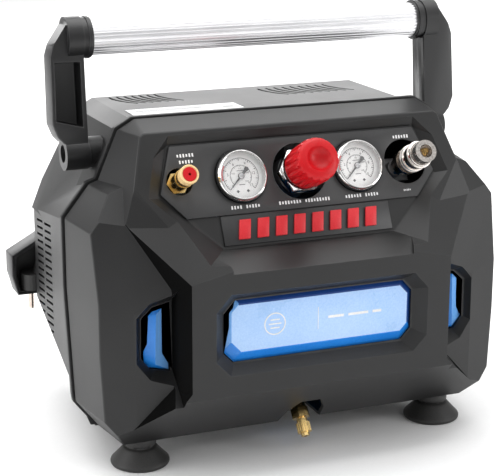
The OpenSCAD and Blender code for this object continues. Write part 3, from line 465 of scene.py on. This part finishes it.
def metal(name, colour, dull, rough=0.2, spread=0.2, line=900.0, stretch=(1, 1, 1), turn=(0, 0, 0),
    strength=0.12, depth=0.00005, **settings):
    """Drawn, turned, plated or cast metal."""
    material, tree, shader = new_material(name, Metallic=1.0, **settings)
    skin = place_group(tree, LINES, {"Vector": object_place(tree, stretch, turn), "Colour": colour,
        "Dull Colour": dull, "Line Size": line, "Roughness": rough, "Spread": spread})
    tree.links.new(skin.outputs["Colour"], shader.inputs["Base Color"])
    tree.links.new(skin.outputs["Roughness"], shader.inputs["Roughness"])
    bump(tree, shader, skin.outputs["Height"], strength, depth)
    return material


casing_black = moulded("casing_black", rgba(0.007, 0.007, 0.0073), rgba(0.0135, 0.0135, 0.0138), 0.44,
    0.14, 1300.0, 0.3, 0.00012, worn=rgba(0.07, 0.07, 0.072), amount=0.4, Specular_IOR_Level=0.42)
# Painted shade: a near-black, dull copy of the casing plastic for the groove's side walls, standing in for
# the shadow that falls in the groove.
groove_painted_shade = moulded("groove_painted_shade", rgba(0.0015, 0.0015, 0.0015), rgba(0.003, 0.003, 0.003), 0.75, 0.1,
    1300.0, 0.3, 0.00012, Specular_IOR_Level=0.04)
panel_grey = moulded("panel_grey", rgba(0.03, 0.03, 0.031), rgba(0.044, 0.044, 0.045), 0.4, 0.1, 2200.0,
    0.12, 0.00006)
plate_black = moulded("plate_black", rgba(0.016, 0.016, 0.017), rgba(0.026, 0.026, 0.027), 0.4, 0.1,
    1800.0, 0.15, 0.00008)
satin_black = moulded("satin_black", rgba(0.006, 0.006, 0.0065), rgba(0.012, 0.012, 0.0125), 0.38, 0.12,
    1500.0, 0.2, 0.0001, worn=rgba(0.12, 0.12, 0.125), amount=0.4)
gloss_black = moulded("gloss_black", rgba(0.008, 0.008, 0.009), rgba(0.016, 0.016, 0.017), 0.2, 0.08,
    900.0, 0.06, 0.00005)
rubber_black = moulded("rubber_black", rgba(0.012, 0.012, 0.012), rgba(0.03, 0.029, 0.028), 0.55, 0.2,
    900.0, 0.35, 0.00015)
cord_black = moulded("cord_black", rgba(0.012, 0.012, 0.012), rgba(0.022, 0.022, 0.022), 0.42, 0.1,
    1100.0, 0.15, 0.00008)
red_gloss = moulded("red_gloss", rgba(0.47, 0.002, 0.005), rgba(0.56, 0.004, 0.01), 0.38, 0.12, 1200.0,
    0.12, 0.00008, Specular_IOR_Level=0.3)
red_raised = moulded("red_raised", rgba(0.56, 0.015, 0.022), rgba(0.68, 0.035, 0.045), 0.36, 0.1, 1200.0,
    0.1, 0.00006, Specular_IOR_Level=0.35)
cream_ring = moulded("cream_ring", rgba(0.72, 0.47, 0.2), rgba(0.84, 0.62, 0.32), 0.3, 0.1, 900.0, 0.08,
    0.00005)
blue_face = moulded("blue_face", rgba(0.33, 0.53, 0.86), rgba(0.46, 0.64, 0.92), 0.28, 0.06, 700.0, 0.05,
    0.00005)
# Painted shade: three darker copies of the plate's blue, given to bevels and facets by the way they face.
blue_mid_painted_shade = moulded("blue_mid_painted_shade", rgba(0.12, 0.36, 0.8), rgba(0.18, 0.43, 0.86), 0.26, 0.06, 700.0, 0.05,
    0.00005)
blue_deep_painted_shade = moulded("blue_deep_painted_shade", rgba(0.01, 0.19, 0.68), rgba(0.02, 0.24, 0.76), 0.26, 0.06, 700.0, 0.05,
    0.00005)
blue_edge_painted_shade = moulded("blue_edge_painted_shade", rgba(0.006, 0.04, 0.2), rgba(0.01, 0.06, 0.26), 0.3, 0.06, 700.0, 0.05,
    0.00005)
tank_paint = moulded("tank_paint", rgba(0.02, 0.2, 0.6), rgba(0.04, 0.26, 0.7), 0.22, 0.06, 260.0, 0.25,
    0.0002, Coat_Weight=0.5)
white_print = moulded("white_print", rgba(0.72, 0.72, 0.72), rgba(0.86, 0.86, 0.86), 0.5, 0.05, 900.0,
    0.05, 0.00003)
label_white = moulded("label_white", rgba(0.76, 0.76, 0.77), rgba(0.86, 0.86, 0.86), 0.4, 0.05, 400.0,
    0.05, 0.00003)
label_grey = moulded("label_grey", rgba(0.3, 0.3, 0.31), rgba(0.4, 0.4, 0.41), 0.4, 0.05, 400.0, 0.05,
    0.00003)
dial_white = moulded("dial_white", rgba(0.78, 0.78, 0.77), rgba(0.88, 0.88, 0.87), 0.35, 0.05, 500.0,
    0.04, 0.00003)
dial_ink = moulded("dial_ink", rgba(0.01, 0.01, 0.01), rgba(0.03, 0.03, 0.03), 0.5, 0.05, 900.0, 0.05,
    0.00002)
dial_red = moulded("dial_red", rgba(0.6, 0.02, 0.03), rgba(0.7, 0.04, 0.05), 0.5, 0.05, 900.0, 0.05,
    0.00002)
grip_alu = metal("grip_alu", rgba(0.93, 0.93, 0.94), rgba(0.78, 0.78, 0.8), 0.34, 0.16, 700.0,
    (0.03, 1, 1), strength=0.2)
chrome = metal("chrome", rgba(0.86, 0.85, 0.84), rgba(0.72, 0.71, 0.7), 0.12, 0.08, 500.0)
nickel = metal("nickel", rgba(0.78, 0.74, 0.7), rgba(0.56, 0.52, 0.49), 0.17, 0.12, 600.0)
brass = metal("brass", rgba(0.84, 0.62, 0.27), rgba(0.6, 0.41, 0.16), 0.22, 0.2, 700.0)
steel = metal("steel", rgba(0.62, 0.62, 0.63), rgba(0.42, 0.42, 0.43), 0.3, 0.2, 800.0)
pin_metal = metal("pin_metal", rgba(0.8, 0.7, 0.62), rgba(0.6, 0.5, 0.44), 0.22, 0.1, 600.0)
cast_alloy = metal("cast_alloy", rgba(0.52, 0.52, 0.53), rgba(0.36, 0.36, 0.37), 0.5, 0.25, 420.0,
    strength=0.6, depth=0.0003)
copper = metal("copper", rgba(0.78, 0.42, 0.26), rgba(0.5, 0.24, 0.14), 0.3, 0.2, 500.0)

clear_glass, glass_tree, glass_shader = new_material("clear_glass", Roughness=0.04, IOR=1.5,
    Base_Color=rgba(0.95, 0.98, 1.0))
glass_dust = place_group(glass_tree, GRAIN, {"Vector": object_place(glass_tree), "Roughness": 0.04,
    "Sheen Spread": 0.03, "Colour": rgba(0.9, 0.94, 0.96), "Pale Colour": rgba(1, 1, 1),
    "Grain Size": 500.0})
glass_tree.links.new(glass_dust.outputs["Roughness"], glass_shader.inputs["Roughness"])
glass_tree.links.new(glass_dust.outputs["Colour"], glass_shader.inputs["Base Color"])
glass_shader.inputs["Alpha"].default_value = 0.07


# ---------------------------------------------------------------- cord
REAR = Vector((0, 0.0075, 0))
LEAD_IN = [(-20, 110, 72), (-6, 110, 72), (10, 110, 73), (26, 110, 76), (42, 110, 81), (58, 110, 87),
    (74, 110, 92), (90, 110, 95.6)]
LEAD_OUT = [(-130, 123.6, 147.4), (-141, 121, 147), (-150, 119.4, 145), (-158.6, 118.2, 140.6),
    (-164, 117.6, 134), (-166, 117.5, 128), (-166, 117.5, 122)]
POST, TURN_R, TURN_Z = 118.0, 25.4, 122.0
STRAIGHT_STEP = POST / 5
WOUND_FROM, WOUND_WIDTH = 109.8, 15.8
CORD_LENGTH, CORD_DIAMETER = 1.785, 0.0062


def wound_turns():
    """Five half turns round the two posts, each lying beside the last."""
    flat = [(104.0, -TURN_R)]
    side = 1
    for half_turn in range(5):
        for step in range(13):
            a = math.radians(-90 + step * 15) if side > 0 else math.radians(90 + step * 15)
            flat.append((side * POST + TURN_R * math.cos(a), TURN_R * math.sin(a)))
        if half_turn < 4:
            flat.extend((side * (POST - k * STRAIGHT_STEP), side * TURN_R) for k in range(1, 10))
        side = -side
    flat.extend((POST - k * STRAIGHT_STEP, TURN_R) for k in range(1, 11))
    run = [0.0]
    for p, q in zip(flat, flat[1:]):
        run.append(run[-1] + math.dist(p, q))
    return [(x, WOUND_FROM + WOUND_WIDTH * s / run[-1], TURN_Z + z) for (x, z), s in zip(flat, run)]


def make_cord():
    """Supply cord: in at the gland, round the posts, out to the plug."""
    route = [Vector(p) * MM + REAR for p in LEAD_IN + wound_turns() + LEAD_OUT]
    data = bpy.data.curves.new("supply_cord", "CURVE")
    data.dimensions = "3D"
    line = data.splines.new("POLY")
    line.points.add(len(route) - 1)
    for point, p in zip(line.points, route):
        point.co = (*p, 1)
    data.bevel_depth = CORD_DIAMETER / 2
    data.bevel_resolution = 4
    data.use_fill_caps = True
    cord = bpy.data.objects.new("supply_cord", data)
    scene.collection.objects.link(cord)
    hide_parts("power_cord", "cord_winding")
    finish_piece(cord, "casing", cord_black)


make_cord()


# ---------------------------------------------------------------- carried-over parts
PLAIN = {"tank": tank_paint, "tank_saddles": rubber_black, "tank_fittings": brass, "foot_screws": steel,
    "gauge_case_left": gloss_black, "gauge_case_right": gloss_black, "gauge_dial_left": dial_white,
    "gauge_dial_right": dial_white, "needle_left": dial_ink, "needle_right": dial_ink,
    "gauge_lenses": clear_glass, "regulator_body": cast_alloy, "manifold": cast_alloy,
    "motor_stator": steel, "motor_brackets": satin_black, "motor_rotor": steel, "fan": satin_black,
    "crankcase": cast_alloy, "crank": steel, "piston": cast_alloy, "cylinder_barrel": cast_alloy,
    "cylinder_head": cast_alloy, "intake_filter": satin_black, "delivery_tube": copper,
    "pressure_switch": satin_black, "switch_rocker": red_gloss, "plug_pins": pin_metal,
    "cord_gland": rubber_black, "casing_screws": steel, "grip_tube": grip_alu, "plug_body": rubber_black,
    "coupler_body": nickel, "valve_body": brass, "drain_body": brass, "drain_cap": brass,
    "type_label": label_white, "pivot_bolts": steel}
for node, material in PLAIN.items():
    NODES[node].data.materials.clear()
    NODES[node].data.materials.append(material)

# ---------------------------------------------------------------- casing and its trim
GROOVE_SPAN, GROOVE_BACK, GROOVE_HEIGHT = (0.106, 0.153), -0.098, (0.045, 0.212)
# The casing's second material is the painted shade for the groove walls.
shell = eased("front_casing", 0.0012, [casing_black, groove_painted_shade], 3, 12, 9, True)
for face in shell.data.polygons:
    c, n = face.center, face.normal
    side = -1 if c.x < 0 else 1
    in_groove = GROOVE_SPAN[0] < abs(c.x) < GROOVE_SPAN[1] and c.y < GROOVE_BACK
    in_groove = in_groove and GROOVE_HEIGHT[0] < c.z < GROOVE_HEIGHT[1]
    # Groove side walls that face outwards get the painted shade.
    if in_groove and n.x * side > 0.5:
        face.material_index = 1
eased("rear_casing", 0.0008, casing_black, 2, 24, 20, True)
eased("instrument_panel", 0.0004, panel_grey)
eased("name_plate", 0.0004, plate_black)
eased("name_bars", 0.0005, red_raised)
eased("arm_left", 0.0014, satin_black, 3)
eased("arm_right", 0.0014, satin_black, 3)
eased("cord_hooks", 0.0008, satin_black)
eased("grip_caps", 0.0008, satin_black)
eased("rubber_feet", 0.0006, rubber_black)
eased("switch_frame", 0.0004, gloss_black)

# Painted shade on the plate's bevels: the front face keeps the plate's blue, the lower bevel gets the deep
# copy, the left bevel the mid copy, the right and top bevels the near-navy copy.
plate = eased("window_plate", 0.0009, [blue_face, blue_mid_painted_shade, blue_deep_painted_shade, blue_edge_painted_shade], 3, 12)
for face in plate.data.polygons:
    n = face.normal
    if n.y < -0.985:
        face.material_index = 0
    elif n.z < -0.12:
        face.material_index = 2
    elif n.x < -0.1:
        face.material_index = 1
    elif n.x > 0.1 or n.z > 0.1:
        face.material_index = 3

# Painted shade on the inlays' facets: those facing right get the mid copy, the rest the deep copy.
inlays = eased("side_inlays", 0.0012, [blue_deep_painted_shade, blue_mid_painted_shade], 3, 12)
for face in inlays.data.polygons:
    face.material_index = 1 if face.normal.x > 0.3 else 0

# ---------------------------------------------------------------- regulator, coupler, valve and drain
eased("regulator_knob", 0.0007, red_gloss, 3, 24)
eased("regulator_nut", 0.0007, chrome, 3, 24)
SLEEVE_OUTLINE = [(8.06, 4.3), (10.2, 4.3), (10.6, 4.7), (10.6, 6.1), (11.6, 6.6), (11.6, 8.0),
    (10.6, 8.5), (10.6, 9.5), (11.6, 10.0), (11.6, 11.4), (10.6, 11.9), (10.6, 19.7), (11.6, 20.2),
    (11.6, 21.6), (10.6, 22.1), (10.6, 25.1), (10.2, 25.5), (8.06, 25.5), (8.06, 4.3)]
sleeve = turned("coupler_sleeve_turned", SLEEVE_OUTLINE, on_panel(COUPLER_X), "sleeve", nickel, 72)
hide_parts("coupler_sleeve")
VALVE_RING_OUTLINE = [(0.01, 9.2), (2.5, 9.2), (2.5, 17.2), (6.9, 17.2), (7.2, 17.5), (7.2, 19.0),
    (7.8, 19.5), (7.8, 26.0), (7.3, 26.6), (6.2, 26.6), (5.8, 26.2), (5.8, 21.2), (0.01, 21.2)]
ring = turned("valve_ring_turned", VALVE_RING_OUTLINE, on_panel(VALVE_X), "valve_cap", cream_ring)
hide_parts("valve_ring")
VALVE_BUTTON_OUTLINE = [(0.01, 21.25), (5.7, 21.25), (5.7, 26.3), (5.2, 26.9), (1.4, 26.9), (1.1, 26.6),
    (1.1, 23.2), (0.01, 23.2)]
button = turned("valve_button_turned", VALVE_BUTTON_OUTLINE, on_panel(VALVE_X), "valve_cap", red_gloss)
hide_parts("valve_button")
BEZEL_OUTLINE = [(18.8, 3.1), (21.4, 3.1), (21.4, 4.3), (21.1, 4.9), (20.8, 5.3), (20.4, 5.8),
    (19.8, 6.0), (19.2, 5.8), (18.9, 5.3), (18.8, 4.8), (18.8, 3.1)]
for side, x in (("left", -GAUGE_X), ("right", GAUGE_X)):
    bezel = turned(f"gauge_bezel_{side}_turned", BEZEL_OUTLINE, on_panel(x), "casing", chrome, 96)
    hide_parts(f"gauge_bezel_{side}")

POPPET_OUTLINE = [(0.01, 13.4), (3.4, 13.4), (3.8, 14), (3.8, 14.8), (2.4, 15.8), (0.01, 16.2)]
turned("coupler_poppet", POPPET_OUTLINE, on_panel(COUPLER_X), "casing", brass, 48)


# ---------------------------------------------------------------- gauge print
DIAL_START, DIAL_SWEEP = 225, 270


def around(radius, degrees):
    """Place on a circle round the dial's middle."""
    return radius * math.cos(math.radians(degrees)), radius * math.sin(math.radians(degrees))


def scale_marks(steps, every, outer, long_inner, short_inner, wide, thin):
    """Marks of one scale: every so many reaches further in and is wider."""
    rows = []
    for i in range(steps + 1):
        a = DIAL_START - i * DIAL_SWEEP / steps
        inner, width = (long_inner, wide) if i % every == 0 else (short_inner, thin)
        rows.append((*around((inner + outer) / 2, a), outer - inner, width, a))
    return rows


def gauge_print(side, x, top_number):
    """Two scales, their numbers, a red band and the needle's hub."""
    place = on_panel(x, 0, 0.02)
    rows = scale_marks(40, 5, 15.0, 12.9, 13.8, 0.62, 0.34) + scale_marks(32, 4, 9.1, 7.9, 8.3, 0.44, 0.28)
    rows.extend([(0, 4.6, 6.0, 0.5, 0), (0, -7.0, 5.0, 0.6, 0)])
    rows.extend((spot, -12.4, 2.0, 2.0, 45) for spot in (-4.4, 4.4))
    marks(f"dial_ticks_{side}", rows, place, "casing", dial_ink)
    outer = [(str(round(top_number * k / 5)), *around(11.2, DIAL_START - DIAL_SWEEP / 5 * k), 3.3)
        for k in range(6)]
    inner = [(str(round(top_number * k * 14.5 / 40) * 10), *around(6.4, DIAL_START - DIAL_SWEEP / 4 * k), 2.0)
        for k in range(5)]
    numbers(f"dial_numbers_{side}", outer + inner, place, "casing", dial_ink)
    arc_band(f"dial_line_{side}", 14.9, 15.3, DIAL_START, -DIAL_SWEEP, place, "casing", dial_ink)
    arc_band(f"dial_inner_line_{side}", 9.0, 9.35, DIAL_START, -DIAL_SWEEP, place, "casing", dial_ink)
    arc_band(f"dial_red_band_{side}", 15.5, 16.6, 190, -46, place, "casing", dial_red)
    turned(f"needle_hub_{side}", [(0.01, 1.62), (2.3, 1.62), (2.3, 2.1), (1.7, 2.7), (0.01, 2.9)],
        on_panel(x), f"{side}_needle", steel, 32)


gauge_print("left", -GAUGE_X, 15)
gauge_print("right", GAUGE_X, 10)


# ---------------------------------------------------------------- legends, badge and label
def legend(words, x, s, height=3.1):
    """A line of print as plain blocks: a list of word lengths in blocks, centred at x."""
    pitch, gap = height * 0.82, height * 0.9
    width = sum(w * pitch for w in words) + gap * (len(words) - 1)
    rows, at = [], x - width / 2
    for w in words:
        for k in range(w):
            tall = height * (0.92 if (k + w) % 3 else 0.7)
            rows.append((at + pitch * (k + 0.4), s, pitch * 0.52, tall, 0))
        at += w * pitch + gap
    return rows


LEGENDS = [([6], -96, 20.8), ([5], -96, 15.6), ([4, 5], -GAUGE_X, -25.2), ([8, 9], 0, -25.2),
    ([6, 5], GAUGE_X, -25.2), ([6], 96.5, 21.4), ([5], 94, -24.5, 1.7)]
legend_rows = [row for line in LEGENDS for row in legend(*line)]
legend_piece = marks("panel_legends", legend_rows, on_panel(0, 0, 0.02), "casing", white_print,
    0.12)
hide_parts("legend_strips")

plate_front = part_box("window_plate")[0].y - 0.00002
badge_place = frame_of((1, 0, 0), (0, 0, 1), (0, -1, 0), (-0.040, plate_front, 0.1275))
turned("badge_ring", [(8.4, 0), (8.4, 0.3), (9.4, 0.3), (9.4, 0), (8.4, 0)], badge_place, "casing",
    white_print, 64)
marks("badge_strokes", [(0, 3.4, 8, 1.1, 0), (0, 0, 11, 1.1, 0), (0, -3.4, 8, 1.1, 0)], badge_place,
    "casing", white_print, 0.3)
strip_place = frame_of((1, 0, 0), (0, 0, 1), (0, -1, 0), (0.026, plate_front, 0.1275))
marks("badge_rule", [(-28, 0, 0.5, 19, 0), (-12, 0, 14, 2.2, 0), (8, 0, 18, 2.2, 0), (25, 0, 8, 2.2, 0)],
    strip_place, "casing", white_print, 0.2)

label_low, label_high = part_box("type_label")
label_place = frame_of((1, 0, 0), (0, 1, 0.0159), (0, -0.0159, 1),
    ((label_low.x + label_high.x) / 2, (label_low.y + label_high.y) / 2, label_high.z - 0.00024))
marks("label_lines", [(-8, 9, 70, 1.0, 0), (-14, 5, 58, 0.8, 0), (-8, 1, 70, 0.8, 0),
    (-20, -3, 46, 0.8, 0), (-10, -7, 66, 0.8, 0), (38, -2, 10, 14, 0)], label_place, "casing", label_grey,
    0.06)


# ---------------------------------------------------------------- stage and light
def make_stage():
    """Plain pale floor."""
    clear()
    bpy.ops.mesh.primitive_plane_add(size=7, location=(0, 0.6, 0))
    floor = bpy.context.object
    floor.name = "studio_floor"
    material, tree, shader = new_material("studio_paper", Roughness=0.9)
    skin = place_group(tree, GRAIN, {"Vector": object_place(tree), "Colour": rgba(0.9, 0.9, 0.9),
        "Pale Colour": rgba(0.93, 0.93, 0.93), "Roughness": 0.85, "Grain Size": 300.0})
    tree.links.new(skin.outputs["Colour"], shader.inputs["Base Color"])
    floor.data.materials.append(material)


def area_light(name, place, target, size, tall, watts):
    """A soft box light that the camera does not see."""
    data = bpy.data.lights.new(name, "AREA")
    data.shape = "RECTANGLE"
    data.size, data.size_y = size, tall
    data.energy = watts
    light = bpy.data.objects.new(name, data)
    scene.collection.objects.link(light)
    light.location = place
    light.visible_camera = False
    light.rotation_mode = "QUATERNION"
    light.rotation_quaternion = (Vector(target) - Vector(place)).to_track_quat("-Z", "Y")


def make_light():
    """Even white surround, four soft boxes and a broad sky."""
    world = bpy.data.worlds.new("studio")
    scene.world = world
    world.use_nodes = True
    tree = world.node_tree
    back = tree.nodes["Background"]
    back.inputs["Color"].default_value = (1, 1, 1, 1)
    back.inputs["Strength"].default_value = 0.5
    seen = tree.nodes.new("ShaderNodeBackground")
    seen.inputs["Strength"].default_value = 1.0
    seen.inputs["Color"].default_value = (1, 1, 1, 1)
    ray = tree.nodes.new("ShaderNodeLightPath")
    mix = tree.nodes.new("ShaderNodeMixShader")
    tree.links.new(ray.outputs["Is Camera Ray"], mix.inputs[0])
    tree.links.new(back.outputs[0], mix.inputs[1])
    tree.links.new(seen.outputs[0], mix.inputs[2])
    tree.links.new(mix.outputs[0], tree.nodes["World Output"].inputs["Surface"])
    area_light("overhead", (0.0, 0.3, 1.9), (0, 0.1, 0.1), 2.0, 1.6, 24)
    area_light("behind", (0.3, 2.6, 1.1), (0, 0, 0.25), 3.0, 1.2, 34)
    area_light("left_side", (-1.8, 0.1, 0.7), (0, 0, 0.15), 0.9, 1.2, 15)
    area_light("front_right", (1.5, -1.2, 0.6), (0, 0, 0.15), 0.7, 1.0, 10)
    sky = bpy.data.lights.new("soft_sky", "SUN")
    sky.energy = 1.5
    sky.angle = math.radians(110)
    light = bpy.data.objects.new("soft_sky", sky)
    scene.collection.objects.link(light)


make_stage()
make_light()
